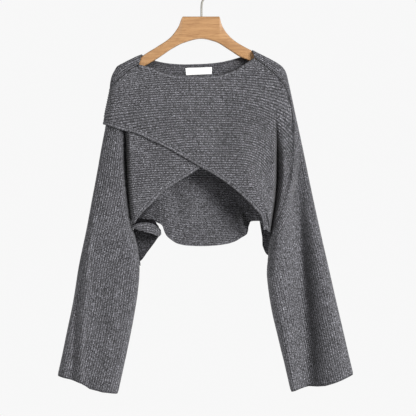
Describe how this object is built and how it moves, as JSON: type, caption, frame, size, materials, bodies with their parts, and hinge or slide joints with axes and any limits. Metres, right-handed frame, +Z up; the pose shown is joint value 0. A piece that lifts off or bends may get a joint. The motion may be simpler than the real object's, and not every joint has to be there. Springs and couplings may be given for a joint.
{
  "type": "asymmetric sweater on a hanger",
  "caption": "Cropped ribbed knit sweater with crossing slanted fronts, a dipped back hem and long raglan sleeves, hung on a flat wooden hanger with a wire hook.",
  "frame": {"origin": "inside crown of the hanger's hook, where the rail bears", "axes": "+X to the viewer's right as the front is seen, +Y from the front to the back, +Z up"},
  "size_m": [0.6484, 0.054, 0.925],
  "materials": {
    "ribbed_knit": "melange ribbed wool knit",
    "knit_band": "melange knitted edging",
    "label_cloth": "plain woven label",
    "hanger_wood": "satin varnish",
    "hook_steel": "satin"
  },
  "bodies": {
    "root": {"wrap_front": "ribbed_knit", "under_front": "ribbed_knit", "back": "ribbed_knit", "sleeve_left": "ribbed_knit", "sleeve_right": "ribbed_knit", "left_side_roll": "ribbed_knit", "wrap_band": "knit_band", "under_band": "knit_band", "neck_band_front": "knit_band", "neck_band_back": "knit_band", "neck_label": "label_cloth", "hanger_body": "hanger_wood", "hanger_hook": "hook_steel"}
  },
  "joints": []
}
